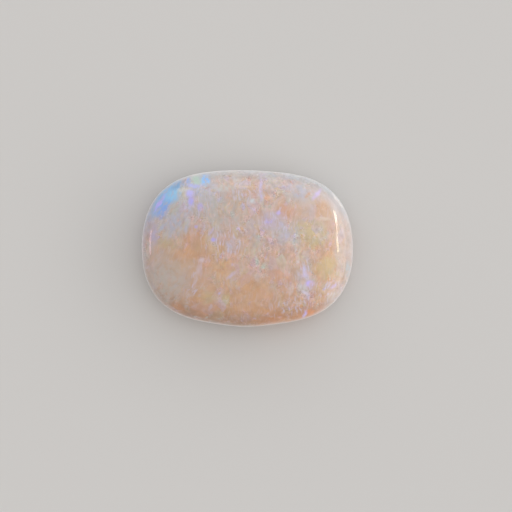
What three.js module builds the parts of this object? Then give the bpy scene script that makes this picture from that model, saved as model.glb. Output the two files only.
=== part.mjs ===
// A polished opal cabochon: one stone with a freeform cushion outline, a low dome and a flat back.
// Millimetres, +Z up. The stone lies on its back, with its long side along X and its face looking up.
// The origin is under the middle of its bounding box, on the plane that the back rests on.
import * as THREE from "three";
import { mergeVertices } from "three/addons/utils/BufferGeometryUtils.js";

// Driving dimensions, in millimetres.

// Girdle radius at each clock hour, seen from above: 12 o'clock (+Y) first, then clockwise.
const GIRDLE_RADII = [6.65, 7.35, 8.84, 9.05, 8.8, 7.24, 6.67, 7.22, 8.71, 8.95, 8.86, 7.45];
const CROWN_HEIGHT = 3.2; // from the girdle, the widest level, up to the top of the dome
const GIRDLE_HEIGHT = 1.5; // from the back up to the girdle

// Shape of the dome and of the edge below it, as plain ratios.

// How flat the face stays before its shoulder falls away: 2 is a plain ellipse, and more is flatter.
const DOME_FULLNESS = 2.7;
const FULLNESS_TO_RIGHT = -0.35; // the right shoulder was ground softer than the left one
const FULLNESS_TO_TOP = -0.3; // and the top shoulder softer than the bottom one
const BACK_INSET = 0.13; // the flat back stops this share of the radius inside the girdle

// Fineness of the facets that follow the curved stone.
const CELLS_ACROSS = 22; // along each side of the square patch in the middle of the face
const CELLS_DOWN = 20; // from that patch, over the shoulder and girdle, to the edge of the back
const PATCH_REACH = 0.6; // the patch covers this share of the radius
const CROWN_SHARE = 0.65; // of the cells going down lie above the girdle
const SAME_DIRECTION = 1e-9; // two directions nearer than this, in radians, count as one

// The girdle radius in any direction. Each hour's radius is blended with the others by the
// trigonometric kernel, so the outline is smooth all round and meets all twelve radii.
function girdleRadius(angle) {
  const hours = GIRDLE_RADII.length;
  let radius = 0;
  for (let hour = 0; hour < hours; hour++) {
    const away = angle - Math.PI / 2 + (hour * 2 * Math.PI) / hours;
    const onTheHour = Math.abs(Math.sin(away / 2)) < SAME_DIRECTION;
    const weight = onTheHour ? 1 : Math.sin((hours * away) / 2) / Math.tan(away / 2) / hours;
    radius += GIRDLE_RADII[hour] * weight;
  }
  return radius;
}

// How full the dome is in any direction.
function fullnessToward(angle) {
  return DOME_FULLNESS + FULLNESS_TO_RIGHT * Math.cos(angle) + FULLNESS_TO_TOP * Math.sin(angle);
}

// Height of the dome at a share of the girdle radius: 0 in the middle, 1 at the girdle.
function domeHeight(share, fullness) {
  return GIRDLE_HEIGHT + CROWN_HEIGHT * Math.sqrt(1 - share ** fullness);
}

// The dome from the middle patch out to the girdle. The slope turns evenly from step to step, so
// the facets are closest together where the shoulder is tightest.
function shoulder(step, fullness) {
  const patchTurn = Math.asin(PATCH_REACH ** (fullness / 2));
  const turn = patchTurn + step * (Math.PI / 2 - patchTurn);
  const share = Math.sin(turn) ** (2 / fullness);
  return { share, height: domeHeight(share, fullness) };
}

// The rounded edge under the girdle, which runs smoothly into the flat back.
function underEdge(step) {
  const turn = (step * Math.PI) / 2;
  const share = 1 - BACK_INSET * (1 - Math.cos(turn));
  return { share, height: GIRDLE_HEIGHT * (1 - Math.sin(turn)) };
}

// Where a point of the uncut block ends up on the stone. The block is a cube from -1 to 1: its top
// becomes the middle of the face, its sides the shoulder, girdle and under-edge, its bottom the back.
function grind(block) {
  const angle = Math.atan2(block.y, block.x);
  const fullness = fullnessToward(angle);
  const outward = Math.max(Math.abs(block.x), Math.abs(block.y));
  const down = (1 - block.z) / 2;
  let level;
  if (down === 0) {
    const share = outward * PATCH_REACH;
    level = { share, height: domeHeight(share, fullness) };
  } else if (down === 1) {
    level = { share: outward * (1 - BACK_INSET), height: 0 };
  } else if (down < CROWN_SHARE) {
    level = shoulder(down / CROWN_SHARE, fullness);
  } else {
    level = underEdge((down - CROWN_SHARE) / (1 - CROWN_SHARE));
  }
  const reach = level.share * girdleRadius(angle);
  return block.set(reach * Math.cos(angle), reach * Math.sin(angle), level.height);
}

// The block is divided into square cells, ground to shape point by point, and set on the origin.
function stoneGeometry() {
  const geometry = new THREE.BoxGeometry(2, 2, 2, CELLS_ACROSS, CELLS_ACROSS, CELLS_DOWN);
  geometry.deleteAttribute("normal");
  geometry.deleteAttribute("uv");
  const places = geometry.getAttribute("position");
  const point = new THREE.Vector3();
  for (let i = 0; i < places.count; i++) {
    grind(point.fromBufferAttribute(places, i));
    places.setXYZ(i, point.x, point.y, point.z);
  }
  geometry.computeBoundingBox();
  const middle = geometry.boundingBox.getCenter(new THREE.Vector3());
  geometry.translate(-middle.x, -middle.y, 0);
  const stone = mergeVertices(geometry);
  stone.computeVertexNormals();
  return stone;
}

// Pale peach opal with a high polish.
function opalMaterial() {
  return new THREE.MeshStandardMaterial({ color: "#c4ab9f", roughness: 0.12, metalness: 0 });
}

const cabochon = new THREE.Group();
const opal = new THREE.Mesh(stoneGeometry(), opalMaterial());
opal.name = "opal";
cabochon.add(opal);

export default cabochon;
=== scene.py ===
# %% [markdown]
# # An opal cabochon
# A cabochon is a stone ground to a smooth dome, with no facets. This lesson dresses a measured solid of
# one until it looks like the opal in the photograph: milky peach, brushed through with lavender, with
# one corner that flashes blue.
# The solid comes in as a fixed frame, in metres. It is never moved or edited. The lesson copies it,
# refines the copy, gives the copy its finish, and sets up the studio round it.

# %% Load the measured stone
import math

import bmesh
import bpy
import numpy as np
from mathutils import Color, Matrix, Vector, noise


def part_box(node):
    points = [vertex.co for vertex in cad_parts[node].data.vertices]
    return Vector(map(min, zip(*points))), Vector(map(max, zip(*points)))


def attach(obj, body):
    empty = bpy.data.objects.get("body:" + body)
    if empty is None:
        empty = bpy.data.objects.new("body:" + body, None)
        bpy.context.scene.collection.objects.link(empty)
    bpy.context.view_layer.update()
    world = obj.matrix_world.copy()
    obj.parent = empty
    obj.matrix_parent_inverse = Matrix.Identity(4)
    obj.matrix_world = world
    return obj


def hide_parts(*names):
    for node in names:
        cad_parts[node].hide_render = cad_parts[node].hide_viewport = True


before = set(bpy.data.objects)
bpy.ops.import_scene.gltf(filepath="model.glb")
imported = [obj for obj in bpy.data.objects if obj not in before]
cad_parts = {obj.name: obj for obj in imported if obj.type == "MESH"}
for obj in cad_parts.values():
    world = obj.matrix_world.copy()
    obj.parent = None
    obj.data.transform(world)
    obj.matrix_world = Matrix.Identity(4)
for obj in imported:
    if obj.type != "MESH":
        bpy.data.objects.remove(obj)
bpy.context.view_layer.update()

MM = 0.001
lowest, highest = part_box("opal")
stone_size = highest - lowest
print("The stone measures", [round(side / MM, 2) for side in stone_size], "mm.")

# %% [markdown]
# ## The camera
# The photograph looks straight at the stone's face. A cabochon can't stand on its edge, so it lies on
# its back here, and the same view is the one from straight above, with +Y at the top of the picture.
# A camera could be nudged until the picture looks right. Working it out is surer: the outline covers
# a known part of the photograph, and the stone's length is known, so one pixel has a known size.

# %% Look straight down on the face
PHOTO_SIDE = 512
OUTLINE_LEFT = 141.6
OUTLINE_RIGHT = 353.2
OUTLINE_TOP = 170.4
OUTLINE_BOTTOM = 326.6
LENS = 135.0

packed_points = np.array([vertex.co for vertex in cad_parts["opal"].data.vertices])
girdle_level = packed_points[packed_points[:, 0].argmax(), 2]
pixel = stone_size.x / (OUTLINE_RIGHT - OUTLINE_LEFT)

camera_data = bpy.data.cameras.new("camera")
camera_data.lens = LENS
camera_data.clip_start = MM
camera = bpy.data.objects.new("camera", camera_data)
bpy.context.scene.collection.objects.link(camera)
bpy.context.scene.camera = camera
camera.location = (
    (PHOTO_SIDE - OUTLINE_LEFT - OUTLINE_RIGHT) / 2 * pixel,
    (OUTLINE_TOP + OUTLINE_BOTTOM - PHOTO_SIDE) / 2 * pixel,
    girdle_level + PHOTO_SIDE * pixel * LENS / camera_data.sensor_width,
)
print("One pixel is", round(pixel / MM, 4), "mm, and the camera is at",
      [round(place / MM, 2) for place in camera.location], "mm.")

# %% [markdown]
# ## The stone's surface
# The measured solid is faceted, and a polished stone is not. Shading the facets smooth would hide them
# inside the outline but leave corners along it. Instead the triangles are joined back into squares, and
# a subdivision surface rounds those, which draws the outline in by less than 0.03 mm.

# %% Copy the solid and round its facets
ROUNDING_LEVELS = 2
WELD_DISTANCE = 0.002 * MM
ANY_ANGLE = math.pi

facets = bmesh.new()
facets.from_mesh(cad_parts["opal"].data)
bmesh.ops.remove_doubles(facets, verts=facets.verts, dist=WELD_DISTANCE)
bmesh.ops.join_triangles(
    facets, faces=facets.faces, angle_face_threshold=ANY_ANGLE, angle_shape_threshold=ANY_ANGLE)
squares = bpy.data.meshes.new("squares")
facets.to_mesh(squares)
facets.free()
squares.attributes.remove(squares.attributes["custom_normal"])

stone = bpy.data.objects.new("opal_stone", squares)
bpy.context.scene.collection.objects.link(stone)
rounding = stone.modifiers.new("rounding", "SUBSURF")
rounding.levels = ROUNDING_LEVELS
evaluated = stone.evaluated_get(bpy.context.evaluated_depsgraph_get())
stone.data = bpy.data.meshes.new_from_object(evaluated)
stone.modifiers.remove(rounding)
bpy.data.meshes.remove(squares)
print("The rounded stone has", len(stone.data.polygons), "faces.")

# %% [markdown]
# ## The hand of the polisher
# A stone held against a wheel by hand is never quite even: its dome has broad, shallow waves. They are a
# few thousandths of a millimetre high, too low to see as a shape, but they bend the long highlight.
# Bump in the material could imitate that. Moving the points themselves puts the waves in the mesh itself.

# %% Give the dome its shallow waves
WAVE_LENGTH = 1.9 * MM
WAVE_HEIGHT = 0.006 * MM
FLAT_BACK = 0.05 * MM

mesh = stone.data
smooth_points = np.array([vertex.co for vertex in mesh.vertices])
outward = np.array([vertex.normal for vertex in mesh.vertices])
waves = np.array([noise.noise(Vector(point) / WAVE_LENGTH) for point in smooth_points])
waves[smooth_points[:, 2] < FLAT_BACK] = 0.0
mesh.vertices.foreach_set("co", (smooth_points + outward * waves[:, None] * WAVE_HEIGHT).ravel())
mesh.polygons.foreach_set("use_smooth", [True] * len(mesh.polygons))
mesh.update()
print("The waves reach", round(float(np.abs(waves).max() * WAVE_HEIGHT / MM), 4), "mm.")

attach(stone, "root")
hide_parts("opal")

# %% [markdown]
# ## A finish made of nodes
# Opal's colours sit in the stone, so they are made by nodes that read the place inside it. A picture
# wrapped round the dome would stretch at the shoulder, and this pattern simply carries on over the edge.
# All the nodes go through a few helpers, so that the later cells can speak of colours and places.

# %% Start the opal's material
opal_finish = bpy.data.materials.new("polished_opal")
opal_finish.use_nodes = True
tree = opal_finish.node_tree
tree.nodes.clear()
mesh.materials.clear()
mesh.materials.append(opal_finish)


def add_node(kind, **settings):
    """A new node of the finish in hand, with its settings."""
    made = tree.nodes.new(kind)
    for name, value in settings.items():
        setattr(made, name, value)
    return made


def feed(socket, source):
    """Gives a socket either a link from another node or a plain value."""
    if isinstance(source, bpy.types.NodeSocket):
        tree.links.new(source, socket)
    else:
        socket.default_value = source


def reckon(operation, first, second=0.0, third=0.0):
    """One step of arithmetic on numbers."""
    step = add_node("ShaderNodeMath", operation=operation)
    for socket, source in zip(step.inputs, (first, second, third)):
        feed(socket, source)
    return step.outputs[0]


def fade(source, start, end, low=0.0, high=1.0):
    """A soft step: low up to start, high from end on, and an easy curve between."""
    step = add_node("ShaderNodeMapRange", interpolation_type="SMOOTHSTEP")
    settings = {"Value": source, "From Min": start, "From Max": end, "To Min": low, "To Max": high}
    for name, value in settings.items():
        feed(step.inputs[name], value)
    return step.outputs[0]


def colour(code):
    """A screen colour such as "c39e89" as a shader wants it, in linear light."""
    levels = [int(code[place:place + 2], 16) / 255 for place in (0, 2, 4)]
    return (*Color(levels).from_srgb_to_scene_linear(), 1.0)


# A mix node has sockets of one name for numbers and for colours, so the colour ones go by their places.
MIX_FIRST, MIX_SECOND, MIX_RESULT = 6, 7, 2


def lay_over(under, over, amount, name=""):
    """Lays one colour over another, as far as the amount says."""
    mix = add_node("ShaderNodeMix", data_type="RGBA", label=name)
    feed(mix.inputs["Factor"], amount)
    feed(mix.inputs[MIX_FIRST], under)
    feed(mix.inputs[MIX_SECOND], over)
    return mix.outputs[MIX_RESULT]


print("The finish starts empty, with", len(tree.nodes), "nodes.")

# %% [markdown]
# ## Places inside the stone
# Object coordinates are metres from the stone's origin. Counting in millimetres keeps the numbers easy
# to read. The silica in opal was laid down in swirls, so a slow noise then bends the places before any
# pattern reads them, and all the patterns drift together.

# %% Measure places in millimetres, and bend them
SWIRL_SIZE = 2.4
SWIRL_REACH = 1.1
NOISE_MIDDLE = 0.5


def grain(where, size, detail=2.0, rough=0.55):
    """Cloudy noise with lumps of about that size, in millimetres."""
    cloud = add_node("ShaderNodeTexNoise")
    feed(cloud.inputs["Vector"], where)
    feed(cloud.inputs["Scale"], 1.0 / size)
    feed(cloud.inputs["Detail"], detail)
    feed(cloud.inputs["Roughness"], rough)
    return cloud


def shift(where, amount, reach):
    """Moves places by a noise colour, evenly both ways."""
    centred = add_node("ShaderNodeVectorMath", operation="SUBTRACT")
    feed(centred.inputs[0], amount)
    feed(centred.inputs[1], (NOISE_MIDDLE, NOISE_MIDDLE, NOISE_MIDDLE))
    moved = add_node("ShaderNodeVectorMath", operation="MULTIPLY_ADD")
    feed(moved.inputs[0], centred.outputs[0])
    feed(moved.inputs[1], (reach, reach, reach))
    feed(moved.inputs[2], where)
    return moved.outputs[0]


coordinates = add_node("ShaderNodeTexCoord")
millimetres = add_node("ShaderNodeVectorMath", operation="SCALE")
feed(millimetres.inputs[0], coordinates.outputs["Object"])
feed(millimetres.inputs["Scale"], 1.0 / MM)
place = millimetres.outputs[0]
axes = add_node("ShaderNodeSeparateXYZ")
feed(axes.inputs[0], place)
rightward, upward, height = axes.outputs

swirl = grain(place, SWIRL_SIZE)
swirled = shift(place, swirl.outputs["Color"], SWIRL_REACH)
print("Places are bent by up to", SWIRL_REACH / 2, "mm.")

# %% [markdown]
# ## Brush strokes
# Under the polish the colour lies in short strokes, mostly upright, which lean over toward the left end.
# Noise has round lumps. Squeezing its places along one axis stretches the lumps into strokes, and
# sliding them sideways with height makes the strokes lean.

# %% Stretch noise into leaning strokes
LEAN_AT_LEFT = 0.42
LEFT_END = -8.0
UPRIGHT_FROM = -2.5
STROKE_STRETCH = 1.5
BROAD_STROKE = 0.95
MIDDLE_STROKE = 0.36
FINE_STROKE = 0.15

lean = fade(rightward, LEFT_END, UPRIGHT_FROM, LEAN_AT_LEFT, 0.0)
bent = add_node("ShaderNodeSeparateXYZ")
feed(bent.inputs[0], swirled)
slid = reckon("SUBTRACT", bent.outputs[0], reckon("MULTIPLY", lean, upward))
squeezed = reckon("DIVIDE", bent.outputs[1], STROKE_STRETCH)
strokes = add_node("ShaderNodeCombineXYZ")
for socket, source in zip(strokes.inputs, (slid, squeezed, bent.outputs[2])):
    feed(socket, source)
stroke_place = strokes.outputs[0]

broad_strokes = grain(stroke_place, BROAD_STROKE).outputs["Fac"]
middle_strokes = grain(stroke_place, MIDDLE_STROKE).outputs["Fac"]
fine_strokes = grain(stroke_place, FINE_STROKE, detail=3.0, rough=0.65).outputs["Fac"]
print("Strokes are", STROKE_STRETCH, "times as long as they are wide.")

# %% [markdown]
# ## Ovals on the face
# Some zones and spots have their own colour. Each is a soft oval, placed in millimetres from
# the middle of the face. Bent places make the ovals ragged, so that none of them looks airbrushed.
# Wide zones are bent a lot, and narrow strokes only a little, or they would fall to pieces.

# %% A helper for one ragged oval
RAGGED_SIZE = 0.42
LOOSE_REACH = 0.6
TIGHT_REACH = 0.24
OVAL_FULL_AT = 0.8

ragged = grain(stroke_place, RAGGED_SIZE, detail=4.0, rough=0.7)


def seen_from_above(reach):
    """Places bent by up to half the reach, with their height left out."""
    flattened = add_node("ShaderNodeVectorMath", operation="MULTIPLY")
    feed(flattened.inputs[0], shift(place, ragged.outputs["Color"], reach))
    feed(flattened.inputs[1], (1.0, 1.0, 0.0))
    return flattened.outputs[0]


loose_plan = seen_from_above(LOOSE_REACH)
tight_plan = seen_from_above(TIGHT_REACH)


def oval(middle, reach, turn=0.0, strength=1.0, plan=loose_plan):
    """How far inside a ragged oval a place is. The turn is in degrees, from the X axis."""
    fitted = add_node("ShaderNodeMapping", vector_type="TEXTURE")
    feed(fitted.inputs["Vector"], plan)
    feed(fitted.inputs["Location"], (*middle, 0.0))
    feed(fitted.inputs["Rotation"], (0.0, 0.0, math.radians(turn)))
    feed(fitted.inputs["Scale"], (*reach, 1.0))
    cone = add_node("ShaderNodeTexGradient", gradient_type="SPHERICAL")
    feed(cone.inputs[0], fitted.outputs[0])
    return fade(cone.outputs["Fac"], 0.0, OVAL_FULL_AT, 0.0, strength)


print("Ovals are frayed by up to", LOOSE_REACH / 2, "mm.")

# %% [markdown]
# ## Calm and busy places
# The left end and the lower middle are calm, almost without strokes, and so are parts of the right end.
# Elsewhere the strokes come and go in clouds. One number says how busy a place is, and the later cells
# multiply their detail by it. The finest detail is sparser still: it gathers in small flecks, with smooth
# stone between them.

# %% Say where the stone is busy
CALM_ZONES = (
    (0.8, (-5.8, -1.4), (4.4, 3.8)),
    (0.45, (-3.0, -2.4), (3.4, 3.0)),
    (0.6, (0.8, -4.2), (4.2, 2.4)),
    (0.3, (2.6, -2.4), (2.0, 1.6)),
    (0.65, (6.0, 3.6), (3.2, 3.0)),
    (0.5, (6.6, -1.6), (2.2, 2.6)),
    (0.4, (8.3, 1.0), (1.8, 3.8)),
    (0.5, (3.4, 3.3), (1.9, 1.5)),
    (0.5, (-3.8, -4.9), (2.6, 1.5)),
)
CLOUD_SIZE = 1.7
CLOUD_FROM, CLOUD_TO = 0.35, 0.65
LEAST_BUSY, MOST_BUSY = 0.6, 1.3
FLECK_SIZE = 0.7
FLECK_FROM, FLECK_TO = 0.46, 0.68
LEAST_LIVELY, MOST_LIVELY = 0.2, 2.6

clouds = grain(swirled, CLOUD_SIZE, detail=1.0).outputs["Fac"]
busy = fade(clouds, CLOUD_FROM, CLOUD_TO, LEAST_BUSY, MOST_BUSY)
for strength, middle, reach in CALM_ZONES:
    busy = reckon("MULTIPLY", busy, reckon("SUBTRACT", 1.0, oval(middle, reach, 0, strength)))
flecks = grain(swirled, FLECK_SIZE, detail=1.0).outputs["Fac"]
lively = reckon("MULTIPLY", busy, fade(flecks, FLECK_FROM, FLECK_TO, LEAST_LIVELY, MOST_LIVELY))
print("The stone has", len(CALM_ZONES), "calm zones.")

# %% [markdown]
# ## From tan to lavender
# Nearly all of the stone's colours lie on one line, from a warm tan through peach and grey to lavender,
# where the silica throws more blue light back. So one number is enough for the body: how strongly this
# place plays. It rises toward the top, has its own cloudy zones, and the strokes stir it.

# %% Let one number choose the body colour
PLAY_IN_MIDDLE = 0.33
PLAY_UPWARD = 0.03
PLAY_ZONES = (
    (0.32, (-5.4, 4.2), (5.0, 3.4), 30),
    (0.16, (-2.7, 3.9), (1.8, 1.6), 0),
    (0.20, (-4.2, 4.9), (1.1, 0.8), 0),
    (0.22, (2.7, 1.5), (2.5, 2.1), -10),
    (0.30, (4.8, -2.4), (1.2, 2.4), 8),
    (0.16, (3.5, 5.6), (3.4, 1.4), -10),
    (0.10, (-6.9, -2.8), (1.9, 2.8), 0),
    (-0.16, (-5.4, 0.0), (3.4, 2.8), 10),
    (-0.36, (-4.3, 0.4), (1.5, 1.8), 0),
    (-0.45, (-2.6, -0.9), (1.8, 1.6), 10),
    (-0.16, (-0.6, -0.8), (1.5, 1.0), 0),
    (-0.30, (-3.8, -4.7), (1.9, 1.1), -10),
    (-0.14, (1.2, 2.8), (0.9, 0.9), 0),
    (-0.30, (-0.1, -2.6), (1.0, 0.9), 0),
    (-0.16, (0.3, -4.2), (6.0, 2.6), 0),
    (-0.26, (6.4, -1.1), (1.7, 2.4), 0),
    (-0.24, (6.4, 3.2), (1.3, 1.6), 0),
    (-0.18, (3.2, 3.1), (1.5, 1.0), -20),
    (-0.26, (-1.4, 3.9), (0.8, 1.1), 0),
    (-0.24, (0.3, 4.8), (0.8, 0.9), 0),
    (0.22, (4.6, 4.6), (2.2, 1.0), -15),
    (-0.14, (5.9, 1.2), (1.4, 1.5), 0),
    (0.12, (3.2, 0.8), (2.2, 1.7), 0),
)
BROAD_STIR = 0.75
MIDDLE_STIR = 0.6
FINE_STIR = 0.38

BODY_COLOURS = (
    (0.0, "ca9f7d"),
    (0.2, "c6a68e"),
    (0.45, "c1aca1"),
    (0.65, "bcb2b1"),
    (0.85, "b8b8ca"),
    (1.0, "b5bde2"),
)


def stir(value, strokes_here, strength):
    """Adds strokes to a number, evenly up and down."""
    return reckon("MULTIPLY_ADD", reckon("SUBTRACT", strokes_here, NOISE_MIDDLE), strength, value)


play = reckon("MULTIPLY_ADD", upward, PLAY_UPWARD, PLAY_IN_MIDDLE)
for strength, middle, reach, turn in PLAY_ZONES:
    play = reckon("MULTIPLY_ADD", oval(middle, reach, turn), strength, play)
play = stir(play, broad_strokes, BROAD_STIR)
play = stir(play, middle_strokes, reckon("MULTIPLY", busy, MIDDLE_STIR))
play = stir(play, fine_strokes, reckon("MULTIPLY", lively, FINE_STIR))


def colour_scale(value, stops):
    """Turns a number into a colour, by a few colours along a scale."""
    scale = add_node("ShaderNodeValToRGB")
    elements = scale.color_ramp.elements
    while len(elements) < len(stops):
        elements.new(1.0)
    for element, (position, code) in zip(elements, stops):
        element.position = position
        element.color = colour(code)
    feed(scale.inputs["Fac"], value)
    return scale.outputs["Color"]


body = colour_scale(play, BODY_COLOURS)
print("The body colour has", len(BODY_COLOURS), "stops.")

# %% [markdown]
# ## Green and pink
# A second, weaker line of colours crosses the first. Some clouds lean to a grey-green ochre and some to
# salmon, as the light is split up in the stone. Again one number tells which, from noise and from ovals.

# %% Lean some clouds to green and some to pink
GREENISH = "bfb98f"
PINKISH = "cc9b8c"
TINT_SIZE = 1.2
TINT_STIR = 1.2
SMALL_TINT_SIZE = 0.15
SMALL_TINT_STIR = 1.9
TINT_AMOUNT = 0.55
FULL_PINK, NO_TINT, FULL_GREEN = 0.0, 0.5, 1.0
TINT_ZONES = (
    (0.75, (5.6, 1.3), (1.5, 1.6), 0),
    (0.35, (-6.6, 0.9), (1.5, 1.5), 0),
    (0.40, (0.9, -0.1), (0.7, 1.0), 0),
    (0.40, (-4.9, 5.0), (1.9, 0.9), 20),
    (0.45, (6.7, -1.6), (1.4, 1.6), 0),
    (0.30, (-1.9, -4.1), (0.9, 0.8), 0),
    (-0.40, (3.3, 3.1), (1.4, 1.0), -20),
    (-0.30, (2.9, -2.2), (2.2, 1.0), 0),
    (-0.30, (-3.6, -1.6), (1.0, 1.6), 0),
    (-0.45, (5.5, -5.2), (1.6, 0.8), 15),
    (0.30, (-3.3, -4.2), (1.2, 0.9), 0),
    (-0.40, (0.2, -1.2), (1.6, 1.2), 0),
)

tint = stir(NO_TINT, grain(swirled, TINT_SIZE).outputs["Fac"], reckon("MULTIPLY", busy, TINT_STIR))
for strength, middle, reach, turn in TINT_ZONES:
    tint = reckon("MULTIPLY_ADD", oval(middle, reach, turn), strength, tint)
small_tints = grain(swirled, SMALL_TINT_SIZE, detail=3.0, rough=0.7).outputs["Fac"]
tint = stir(tint, small_tints, reckon("MULTIPLY", busy, SMALL_TINT_STIR))
green = fade(tint, NO_TINT, FULL_GREEN, 0.0, TINT_AMOUNT)
body = lay_over(body, colour(GREENISH), green, "green clouds")
pink = fade(tint, NO_TINT, FULL_PINK, 0.0, TINT_AMOUNT)
body = lay_over(body, colour(PINKISH), pink, "pink clouds")
print("The tint has", len(TINT_ZONES), "zones of its own.")

# %% [markdown]
# ## Painted light and shade at the edge
# The light falls on the stone from the far side, the top of the picture, so its lower edge is dim, and what
# comes out there has gone a long way through the stone, which takes the blue out and leaves brown and
# orange. These tints paint that shade and that orange glow into the colour. The left edge is dim and grey,
# which is painted shade as well. The upper and right edges are milky: partly the stone's own colour, partly
# a painted reflection of the bright walls. Wide fades keep the sides even.

# %% Paint shade, glow and reflection on the edge
EDGE_FROM, EDGE_FULL = 3.5, 1.9
WIDE_EDGE_FROM, WIDE_EDGE_FULL = 4.1, 2.3
EDGE = (height, EDGE_FROM, EDGE_FULL)
WIDE_EDGE = (height, WIDE_EDGE_FROM, WIDE_EDGE_FULL)
PAINTED_EDGE_LIGHT_AND_SHADE = (
    # Painted reflection in part: the walls' light on the right and upper edges, laid in as a cool milky
    # cast.
    ("milky right edge, partly painted reflection", "c0babc", 0.7, (EDGE, (rightward, 3.5, 7.0))),
    ("cool upper edge, partly painted reflection", "b2bac2", 0.8, (EDGE, (upward, 1.0, 4.5))),
    # Painted shade: the dim left edge, lavender above and grey-brown below.
    ("painted shade, lavender left edge", "a09cb0", 0.75, (EDGE, (rightward, -4.5, -8.0), (upward, -4.0, 1.5))),
    ("painted shade, grey-brown left edge", "998b7e", 0.8, (EDGE, (rightward, -4.0, -8.0), (upward, 1.5, -4.0))),
    # Painted shade on the dim lower edge, and a painted orange glow of light come through it.
    ("painted shade, warm lower edge", "9e6a3a", 0.95, (WIDE_EDGE, (upward, -2.6, -4.9), (rightward, 8.0, 2.0))),
    ("painted glow and shade, orange lower edge", "d08a50", 0.8,
     (WIDE_EDGE, (upward, -4.2, -5.8), (rightward, -0.5, 2.5), (rightward, 8.0, 5.5))),
)

for name, code, amount, fades in PAINTED_EDGE_LIGHT_AND_SHADE:
    here = amount
    for soft_step in fades:
        here = reckon("MULTIPLY", here, fade(*soft_step))
    body = lay_over(body, colour(code), here, name)
print("The edge has", len(PAINTED_EDGE_LIGHT_AND_SHADE), "tints.")

# %% [markdown]
# ## The mosaic
# Seen close, the body breaks up into small domains, each with a tint of its own, because the spheres of
# silica are stacked a little differently in each. Voronoi cells are just such a mosaic, and every cell
# brings a random number that can choose its tint. Two sizes of cell keep it from looking regular, and
# toward the edge the mosaic grows fainter.

# %% Tint the domains
DOMAIN_TINTS = (
    (0.0, "c7b086"),
    (0.2, "cc9c8c"),
    (0.4, "caa8a2"),
    (0.6, "b8beb3"),
    (0.8, "c8acb8"),
    (1.0, "bbb0d8"),
)
DOMAIN_FRAY = 0.3
LARGE_DOMAIN, LARGE_AMOUNT = 0.75, 0.42
SMALL_DOMAIN, SMALL_AMOUNT = 0.3, 0.36
EDGE_SHARE = 0.5


def domains(size):
    """Two random numbers for each frayed cell of about that size: one for its tint, one for how much."""
    cells = add_node("ShaderNodeTexVoronoi")
    feed(cells.inputs["Vector"], shift(stroke_place, ragged.outputs["Color"], DOMAIN_FRAY))
    feed(cells.inputs["Scale"], 1.0 / size)
    split = add_node("ShaderNodeSeparateColor")
    feed(split.inputs[0], cells.outputs["Color"])
    return split.outputs[0], split.outputs[1]


off_the_edge = fade(height, WIDE_EDGE_FULL, WIDE_EDGE_FROM, EDGE_SHARE, 1.0)
which, how_much = domains(LARGE_DOMAIN)
how_much = reckon("MULTIPLY", how_much, reckon("MULTIPLY", busy, off_the_edge))
body = lay_over(body, colour_scale(which, DOMAIN_TINTS), reckon("MULTIPLY", how_much, LARGE_AMOUNT))
which, how_much = domains(SMALL_DOMAIN)
how_much = reckon("MULTIPLY", how_much, reckon("MULTIPLY", lively, off_the_edge))
body = lay_over(body, colour_scale(which, DOMAIN_TINTS), reckon("MULTIPLY", how_much, SMALL_AMOUNT))
print("The mosaic has", len(DOMAIN_TINTS), "tints.")

# %% [markdown]
# ## Light and dark strokes
# The strokes differ in brightness as well as in tint. Three sizes of noise make the colour a little lighter
# here and darker there. The widest does so all over. The other two follow how busy the stone is, so they
# are strong in the clouds of strokes and weak where it is calm.

# %% Brighten and darken the strokes
SHORT_STROKE, SHORT_STIR = 0.1, 0.4
LONG_STROKE, LONG_STIR = 0.28, 0.45
SOFT_PATCH, PATCH_STIR = 0.8, 0.3

brightness = stir(1.0, grain(swirled, SOFT_PATCH, detail=1.0).outputs["Fac"], PATCH_STIR)
long_strokes = grain(stroke_place, LONG_STROKE, detail=1.0).outputs["Fac"]
brightness = stir(brightness, long_strokes, reckon("MULTIPLY", busy, LONG_STIR))
short_strokes = grain(swirled, SHORT_STROKE, detail=1.0).outputs["Fac"]
brightness = stir(brightness, short_strokes, reckon("MULTIPLY", lively, SHORT_STIR))
brightened = add_node("ShaderNodeVectorMath", operation="SCALE")
feed(brightened.inputs[0], body)
feed(brightened.inputs["Scale"], brightness)
body = brightened.outputs[0]
print("The shortest strokes are", SHORT_STROKE, "mm wide.")

# %% [markdown]
# ## Wisps
# In some places fine pale wisps lie over the body, as in a feather. They are the same kind of stretched
# noise, of which only the high parts are kept. It is drawn out further, along the strokes and downward,
# so that the wisps run on over the edge.

# %% Lay wisps where the photograph shows them
WISP_COLOUR = "ccc5de"
WISP_WIDTH = 0.14
WISP_STRETCH = 4.5
WISP_FROM, WISP_TO = 0.5, 0.72
WISP_AMOUNT = 0.55
WISPS_ELSEWHERE = 0.12
WISP_ZONES = (
    ((4.9, -2.4), (1.3, 2.9), 6),
    ((-0.6, 4.6), (2.8, 1.6), 0),
    ((2.4, 2.3), (2.3, 1.7), -15),
    ((-4.4, -2.9), (0.7, 2.6), -15),
    ((-4.0, 3.6), (2.2, 2.4), 0),
    ((6.9, -3.6), (1.6, 1.2), 30),
    ((3.6, -4.9), (2.6, 1.1), 10),
    ((-1.8, 0.8), (2.6, 2.2), 0),
)

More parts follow.
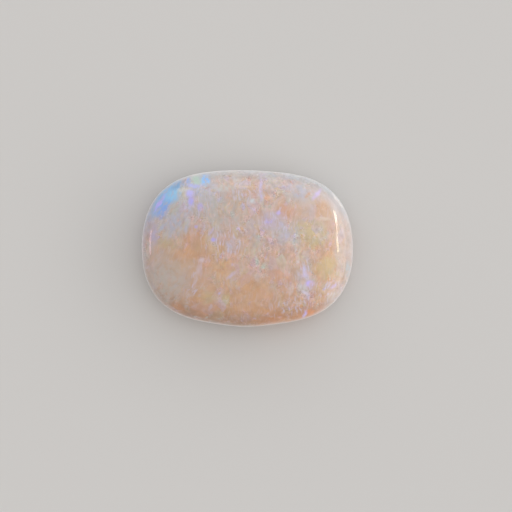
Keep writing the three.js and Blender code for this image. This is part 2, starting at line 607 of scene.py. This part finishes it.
stretched = add_node("ShaderNodeCombineXYZ")
feed(stretched.inputs[0], slid)
feed(stretched.inputs[1], reckon("DIVIDE", bent.outputs[1], WISP_STRETCH))
feed(stretched.inputs[2], reckon("DIVIDE", bent.outputs[2], WISP_STRETCH))
drawn_out = grain(stretched.outputs[0], WISP_WIDTH, detail=1.0).outputs["Fac"]
wisps = fade(drawn_out, WISP_FROM, WISP_TO)
feathered = WISPS_ELSEWHERE
for middle, reach, turn in WISP_ZONES:
    feathered = reckon("ADD", feathered, oval(middle, reach, turn, WISP_AMOUNT))
body = lay_over(body, colour(WISP_COLOUR), reckon("MULTIPLY", wisps, feathered), "wisps")
print("Wisps lie in", len(WISP_ZONES), "zones.")

# %% [markdown]
# ## The flash in the corner
# The upper left corner flashes blue, the one place where the play of colour is strong. It is laid in as a
# painter would, from wide and dull to narrow and bright, and brushed through by the strokes. The photograph
# doesn't show how deep it goes, so it dies away down the side of the stone.

# %% Lay the flash
BRUSHED_FROM, BRUSHED_TO, BRUSHED_LEAST = 0.35, 0.58, 0.4
PATCHES_END, PATCHES_FULL = 0.7, 2.5
FLASH = (
    ("grey veil, upper left", "b0aca8", (-2.2, 3.5), (3.6, 3.0), 0, 0.6),
    ("grey veil, lower left", "beb6ae", (-6.7, -2.9), (2.3, 3.2), 0, 0.7),
    ("grey-blue beside the flash", "b2b4c6", (-6.1, 2.1), (2.2, 1.5), 60, 0.7),
    ("grey-blue out to the rim", "9dacc4", (-7.6, 3.9), (3.0, 0.8), 57, 0.9),
    ("green-grey inside the flash", "b9bcb2", (-6.0, 3.7), (1.6, 0.6), 55, 0.6),
    ("sky blue", "78b2e6", (-6.75, 4.35), (2.6, 1.02), 54, 1.05),
    ("turquoise upper end", "94c6e6", (-6.35, 4.55), (1.15, 0.8), 50, 0.9),
    ("dusty blue by the rim", "82a6cc", (-5.95, 5.35), (0.9, 0.38), 40, 0.95),
    ("deeper blue lower end", "86a6e4", (-7.15, 3.3), (1.3, 0.65), 58, 0.8),
    ("lilac line", "b6aeee", (-7.4, 3.85), (1.3, 0.26), 58, 1.1),
)

brushed = fade(middle_strokes, BRUSHED_FROM, BRUSHED_TO, BRUSHED_LEAST, 1.0)
brushed = reckon("MULTIPLY", brushed, fade(height, PATCHES_END, PATCHES_FULL))


def lay_patches(under, patches, plan):
    """Lays brushed ovals of colour over another colour, one after the other."""
    for name, code, middle, reach, turn, strength in patches:
        amount = reckon("MULTIPLY", oval(middle, reach, turn, strength, plan), brushed)
        under = lay_over(under, colour(code), amount, name)
    return under


body = lay_patches(body, FLASH, loose_plan)
print("The flash has", len(FLASH), "layers.")

# %% [markdown]
# ## Single strokes and spots
# Away from the corner, single strokes of lilac and a few spots stand out from the rest. A few more are
# painted light: a highlight by the upper right rim, a reflected line at the top, and shade and an orange
# glow along the lower rim. They are narrow ovals, so they use the places that are bent less.

# %% Lay the strokes and spots
SPOTS_AND_PAINTED_LIGHT = (
    ("sky-blue spot at the top", "90c0f6", (-3.55, 5.75), (0.65, 0.75), 0, 1.1),
    ("mint beside it", "b4cabe", (-4.3, 5.75), (0.65, 0.65), 0, 1.2),
    ("blue dot beside the mint", "94aee6", (-4.96, 5.74), (0.3, 0.4), 0, 1.0),
    ("lavender line below them", "b2b6e4", (-4.5, 5.25), (0.9, 0.3), -5, 1.0),
    ("pale band under the mint", "cccbc8", (-5.35, 4.93), (0.8, 0.3), 5, 0.8),
    ("pale band further right", "c4c2c0", (-2.1, 5.06), (1.4, 0.45), 0, 0.7),
    ("pale patch near the top", "c6c2c0", (-0.97, 5.9), (0.6, 0.7), 0, 0.7),
    ("lilac blot", "beb9ee", (-4.85, 4.65), (0.55, 0.45), 0, 1.05),
    ("lilac stroke under it", "b4aeea", (-4.7, 4.0), (0.38, 0.68), 0, 1.0),
    ("lavender at the left edge", "b0a8c4", (-7.9, 1.2), (0.7, 1.4), 0, 0.7),
    ("lilac stroke further in", "b6acda", (-3.94, 3.45), (0.4, 0.5), 0, 0.9),
    ("lilac dot", "b8a8d6", (-4.28, 1.83), (0.26, 0.24), 0, 1.0),
    ("lilac squiggle", "c2b2d2", (-3.0, 1.4), (0.55, 0.16), 60, 0.9),
    ("blue dot under it", "b4a8e0", (-2.84, 0.7), (0.28, 0.28), 0, 1.0),
    ("pale upright streak", "b8b4c4", (-5.13, 1.75), (0.18, 0.8), 0, 0.8),
    ("pale slanting streak", "b4b4c6", (-7.15, 1.75), (0.75, 0.22), 55, 0.8),
    ("tan stroke, left", "bb9a7c", (-4.3, 0.3), (0.6, 1.0), 0, 0.7),
    ("pale blot, left", "d0bcc2", (-3.77, -0.98), (0.38, 0.32), 0, 0.9),
    ("pale stroke under it", "c6b0b4", (-3.86, -1.85), (0.18, 0.9), 0, 0.7),
    ("upright lavender streak", "c4b9dc", (1.16, 4.95), (0.24, 1.5), 0, 0.85),
    ("slanting lilac stroke", "c8b8e6", (5.85, 4.55), (0.9, 0.28), 50, 0.75),
    ("tan stroke beside it", "cb9a72", (5.1, 4.5), (0.55, 0.2), 45, 0.6),
    # Painted reflection: the thin pale line of a light seen in the top shoulder.
    ("painted reflection, pale line at the top", "d8c4b2", (-0.1, 5.19), (1.3, 0.14), 0, 0.7),
    # Painted highlight: a pale streak along the upper right rim, where a reflection lies.
    ("painted highlight by the upper right rim", "fff6f2", (7.7, 4.05), (1.3, 0.2), -52, 0.5),
    ("pale patch at the right rim", "b2babe", (8.5, -1.7), (0.4, 0.95), 0, 0.9),
    ("pale line at the right", "d6cabc", (6.4, 2.5), (0.9, 0.22), -5, 0.5),
    ("lavender feather", "b9b1d0", (2.2, 2.3), (1.9, 1.1), -15, 0.5),
    ("lilac heart of the feather", "b8aadc", (1.76, 2.25), (0.55, 0.38), 0, 0.9),
    ("lilac corner of the feather", "c0b0e4", (2.6, 3.0), (0.32, 0.28), 0, 0.9),
    ("tan stroke beside the feather", "c09876", (3.45, 2.85), (0.35, 0.55), 0, 0.6),
    ("pale dot above the feather", "c8ccd0", (0.48, 3.95), (0.38, 0.3), 0, 0.9),
    ("grey-green cloud", "b0b2ae", (0.85, 0.45), (0.7, 1.2), 0, 0.4),
    ("blue-grey cloud", "b8b0c2", (-1.4, 0.4), (0.7, 0.9), 0, 0.6),
    ("peach in the lower middle", "c9a48c", (-0.2, -2.55), (0.8, 0.7), 0, 0.8),
    ("pale dots, lower right", "d8ccd0", (4.25, -1.0), (0.22, 0.75), 0, 0.7),
    ("lavender stroke, lower right", "c8c0e2", (4.85, -1.95), (0.32, 0.9), 12, 0.85),
    ("bright lilac, lower right", "c6b4ec", (5.2, -3.0), (0.58, 0.46), 0, 1.0),
    ("mint beside the lilac", "cbc8cc", (4.6, -3.2), (0.6, 0.55), -30, 0.7),
    ("pale stroke below the lilac", "d4cce0", (4.9, -3.75), (0.6, 0.22), -30, 0.7),
    ("pale blob", "cbc2c6", (3.65, -3.5), (0.35, 0.6), -20, 0.7),
    ("slanting dash at the right", "c2aedb", (7.25, -3.2), (0.6, 0.22), 38, 0.6),
    ("milky patch by the lower right rim", "d2c8be", (7.2, -4.0), (0.9, 0.4), 42, 0.6),
    ("arc near the bottom", "d2bec2", (4.3, -4.55), (0.9, 0.2), 10, 0.6),
    # Painted glow: orange light come through the thin lower right edge.
    ("painted glow, orange beside the sparkle", "de9260", (5.3, -5.42), (0.6, 0.42), 20, 0.9),
    ("lilac sparkle at the bottom", "c9b8ee", (4.85, -5.55), (0.22, 0.5), -25, 1.0),
    ("bright speck", "ccc6f4", (-2.33, -3.75), (0.17, 0.18), 0, 0.95),
    ("faint speck below it", "c8c0d6", (-3.1, -4.95), (0.2, 0.35), -20, 0.8),
    ("slanting stroke, lower middle", "c8b6cc", (-1.22, -2.17), (0.95, 0.22), 38, 0.95),
    # Painted shade along the lower rim, brown, and painted glow and shade by the lower left rim, orange.
    ("painted shade, brown by the lower rim", "a87a52", (-2.6, -5.6), (1.0, 0.5), 0, 0.3),
    ("painted glow and shade, orange by the lower left rim", "c68c62", (-5.8, -4.95), (1.1, 0.5), -30, 0.7),
    ("left fan", "ccbabe", (-4.3, -2.6), (0.3, 2.6), -14, 0.6),
    ("left fan, outer", "c8bcba", (-5.0, -4.2), (0.3, 1.2), -12, 0.55),
)

body = lay_patches(body, SPOTS_AND_PAINTED_LIGHT, tight_plan)
print("The face has", len(SPOTS_AND_PAINTED_LIGHT), "strokes and spots.")

# %% [markdown]
# ## The shader
# A single glossy shader carries it all. Some of the light enters and comes out a little further on, red
# light furthest, which softens the stone and warms its thin edge. Sheen adds the pale line that a milky
# stone shows where its edge turns away.

# %% Put the finish together
SCATTER_WEIGHT = 0.2
SCATTER_REACH = 0.5 * MM
SCATTER_BY_COLOUR = (1.0, 0.6, 0.4)
OPAL_IOR = 1.45
SHEEN_WEIGHT = 1.0
SHEEN_ROUGHNESS = 0.4

shader = add_node("ShaderNodeBsdfPrincipled")
feed(shader.inputs["Base Color"], body)
feed(shader.inputs["Subsurface Weight"], SCATTER_WEIGHT)
feed(shader.inputs["Subsurface Radius"], SCATTER_BY_COLOUR)
feed(shader.inputs["Subsurface Scale"], SCATTER_REACH)
feed(shader.inputs["IOR"], OPAL_IOR)
feed(shader.inputs["Sheen Weight"], SHEEN_WEIGHT)
feed(shader.inputs["Sheen Roughness"], SHEEN_ROUGHNESS)
output = add_node("ShaderNodeOutputMaterial")
feed(output.inputs["Surface"], shader.outputs["BSDF"])
print("The finish has", len(tree.nodes), "nodes.")

# %% [markdown]
# ## The ground back
# The face is polished to a gloss. The back of such a stone is only ground flat on a fine wheel, which
# leaves it dull, with faint straight lines. They are far too fine to model, so noise that is drawn out a
# long way makes them as bump, and as a change of gloss. Both die out as the edge turns up.

# %% Grind the back
FACE_ROUGHNESS = 0.06
BACK_ROUGHNESS = 0.42
LINE_ROUGHNESS = 0.25
BACK_ENDS, FACE_STARTS = 0.02, 0.3
LINE_WIDTH = 0.06
LINE_STRETCH = 40.0
LINE_TURN = 25.0
LINE_DEPTH = 0.002 * MM

across_lines = add_node("ShaderNodeMapping", vector_type="TEXTURE")
feed(across_lines.inputs["Vector"], place)
feed(across_lines.inputs["Rotation"], (0.0, 0.0, math.radians(LINE_TURN)))
feed(across_lines.inputs["Scale"], (LINE_STRETCH, 1.0, 1.0))
grind_lines = grain(across_lines.outputs[0], LINE_WIDTH).outputs["Fac"]
on_back = fade(height, FACE_STARTS, BACK_ENDS)
back_roughness = stir(BACK_ROUGHNESS, grind_lines, LINE_ROUGHNESS)
gloss = add_node("ShaderNodeMix")
feed(gloss.inputs["Factor"], on_back)
feed(gloss.inputs["A"], FACE_ROUGHNESS)
feed(gloss.inputs["B"], back_roughness)
feed(shader.inputs["Roughness"], gloss.outputs["Result"])
bump = add_node("ShaderNodeBump")
feed(bump.inputs["Height"], grind_lines)
feed(bump.inputs["Distance"], LINE_DEPTH)
feed(bump.inputs["Strength"], on_back)
feed(shader.inputs["Normal"], bump.outputs["Normal"])
print("The back's lines are about", LINE_WIDTH, "mm apart.")

# %% [markdown]
# ## The floor
# The stone lies on a plain pale floor. It is wide enough to fill the picture from every side, and its
# finish is dull, so that it shows the stone's soft shadow and nothing else.

# %% Lay the floor
FLOOR_REACH = 1.5
FLOOR_COLOUR = "d2cfcc"
FLOOR_ROUGHNESS = 0.9

floor_mesh = bpy.data.meshes.new("floor")
corners = [(x * FLOOR_REACH, y * FLOOR_REACH, 0.0) for x, y in ((-1, -1), (1, -1), (1, 1), (-1, 1))]
floor_mesh.from_pydata(corners, [], [(0, 1, 2, 3)])
floor = bpy.data.objects.new("floor", floor_mesh)
bpy.context.scene.collection.objects.link(floor)
floor_finish = bpy.data.materials.new("pale_floor")
floor_finish.use_nodes = True
floor_shader = floor_finish.node_tree.nodes["Principled BSDF"]
floor_shader.inputs["Base Color"].default_value = colour(FLOOR_COLOUR)
floor_shader.inputs["Roughness"].default_value = FLOOR_ROUGHNESS
floor_mesh.materials.append(floor_finish)
print("The floor is", 2 * FLOOR_REACH, "m wide.")

# %% [markdown]
# ## The room
# A polished stone shows its surroundings, so the room matters as much as the finish. A picture of a studio
# could surround it. A few fades are plainer: the world's light depends on the direction that it comes
# from, and it is a little stronger from low down than from overhead.

# %% Fill the room with soft light
OVERHEAD_LIGHT = 0.8
HORIZON_LIGHT = 1.08
HORIZON_ENDS, OVERHEAD_STARTS = 0.1, 0.75

room = bpy.data.worlds.new("studio")
room.use_nodes = True
bpy.context.scene.world = room
bpy.context.scene.view_settings.view_transform = "Standard"

# From here on the helpers add their nodes to the room.
tree = room.node_tree
sky = add_node("ShaderNodeTexCoord")
toward = add_node("ShaderNodeSeparateXYZ")
feed(toward.inputs[0], sky.outputs["Generated"])
to_right, to_far, overhead = toward.outputs
light = fade(overhead, HORIZON_ENDS, OVERHEAD_STARTS, HORIZON_LIGHT, OVERHEAD_LIGHT)
print("The room's light goes from", OVERHEAD_LIGHT, "overhead to", HORIZON_LIGHT, "low down.")

# %% [markdown]
# ## The walls
# The far wall and the right one are brighter, which makes the upper and right edges pale. Low down on the
# near side, and a little to the left, the room is dim, which leaves the lower edge dim. Each wall is a fade
# to the side times a fade downward, so no wall has a hard border that the polish would show.

# %% Light two walls and dim the near side
FAR_WALL_LIGHT = 1.5
FAR_WALL_STARTS, FAR_WALL_FULL = 0.45, 0.95
FAR_WALL_TOP, FAR_WALL_FOOT = 0.6, 0.3
RIGHT_WALL_LIGHT = 2.6
RIGHT_WALL_STARTS, RIGHT_WALL_FULL = 0.4, 0.95
RIGHT_WALL_TOP, RIGHT_WALL_FOOT = 0.65, 0.35
DIM_SIDE_SHARE = 0.5
DIM_SIDE_LEAN = 0.35
DIM_SIDE_STARTS, DIM_SIDE_FULL = 0.1, 0.8
DIM_SIDE_TOP, DIM_SIDE_FOOT = 0.75, 0.25


def wall(to_side, starts, full, top, foot):
    """How far a direction lies on a wall: to that side, and low down."""
    return reckon("MULTIPLY", fade(to_side, starts, full), fade(overhead, top, foot))


far_wall = wall(to_far, FAR_WALL_STARTS, FAR_WALL_FULL, FAR_WALL_TOP, FAR_WALL_FOOT)
light = reckon("MULTIPLY_ADD", far_wall, FAR_WALL_LIGHT - HORIZON_LIGHT, light)
right_wall = wall(to_right, RIGHT_WALL_STARTS, RIGHT_WALL_FULL, RIGHT_WALL_TOP, RIGHT_WALL_FOOT)
light = reckon("MULTIPLY_ADD", right_wall, RIGHT_WALL_LIGHT - HORIZON_LIGHT, light)
to_near = reckon("MULTIPLY", to_far, -1.0)
to_dim_side = reckon("MULTIPLY_ADD", to_right, -DIM_SIDE_LEAN, to_near)
dim_side = wall(to_dim_side, DIM_SIDE_STARTS, DIM_SIDE_FULL, DIM_SIDE_TOP, DIM_SIDE_FOOT)
light = reckon("MULTIPLY", light, fade(dim_side, 0.0, 1.0, 1.0, DIM_SIDE_SHARE))
background = tree.nodes["Background"]
feed(background.inputs["Color"], colour("ffffff"))
feed(background.inputs["Strength"], light)
print("The right wall's light is", RIGHT_WALL_LIGHT, "and the far wall's is", FAR_WALL_LIGHT)

# %% [markdown]
# ## The lamps
# The long highlight near the right edge is a bent row of three narrow lamps seen in the dome, and the faint
# pink line near the left edge is one more. A lamp's reflection falls where the dome's slope is halfway
# between the lamp and the camera, so each lamp is given by the directions of its two ends. The lamps light
# the stone alone and the camera doesn't see them, so the floor stays even and no bar stands in other views.

# %% Hang the lamps
LAMP_DISTANCE = 150 * MM
LAMPS = (
    ("right_strip_far", (28, 14), (18, 22), 13 * MM, 14, "fff4dc"),
    ("right_strip_middle", (18, 22), (8, 27), 6 * MM, 9, "ffe6d6"),
    ("right_strip_near", (8, 27), (-1, 26), 9 * MM, 12, "ffeec0"),
    ("left_strip", (170, 1.5), (183, 4.5), 15 * MM, 5, "ffd0e8"),
)

only_stone = bpy.data.collections.new("only_stone")
only_stone.objects.link(stone)


def direction(azimuth, elevation):
    """A unit vector toward a lamp: degrees round from +X, and up from the floor."""
    around, up = math.radians(azimuth), math.radians(elevation)
    return Vector((math.cos(around) * math.cos(up), math.sin(around) * math.cos(up), math.sin(up)))


def add_lamp(name, start, end, thickness, brightness, code):
    """A long soft lamp between two directions, in degrees, facing the stone and lighting it alone."""
    first = direction(*start) * LAMP_DISTANCE
    last = direction(*end) * LAMP_DISTANCE
    data = bpy.data.lights.new(name, "AREA")
    data.shape = "RECTANGLE"
    data.size = (last - first).length
    data.size_y = thickness
    data.energy = brightness * data.size * data.size_y * math.pi
    data.color = colour(code)[:3]
    lamp = bpy.data.objects.new(name, data)
    bpy.context.scene.collection.objects.link(lamp)
    middle = (first + last) / 2
    along = (last - first).normalized()
    across = middle.cross(along).normalized()
    placing = Matrix((along, across, along.cross(across))).transposed().to_4x4()
    placing.translation = middle
    lamp.matrix_world = placing
    lamp.visible_camera = False
    lamp.light_linking.receiver_collection = only_stone


for lamp_row in LAMPS:
    add_lamp(*lamp_row)
print("The lamps are", [light.name for light in bpy.data.lights])
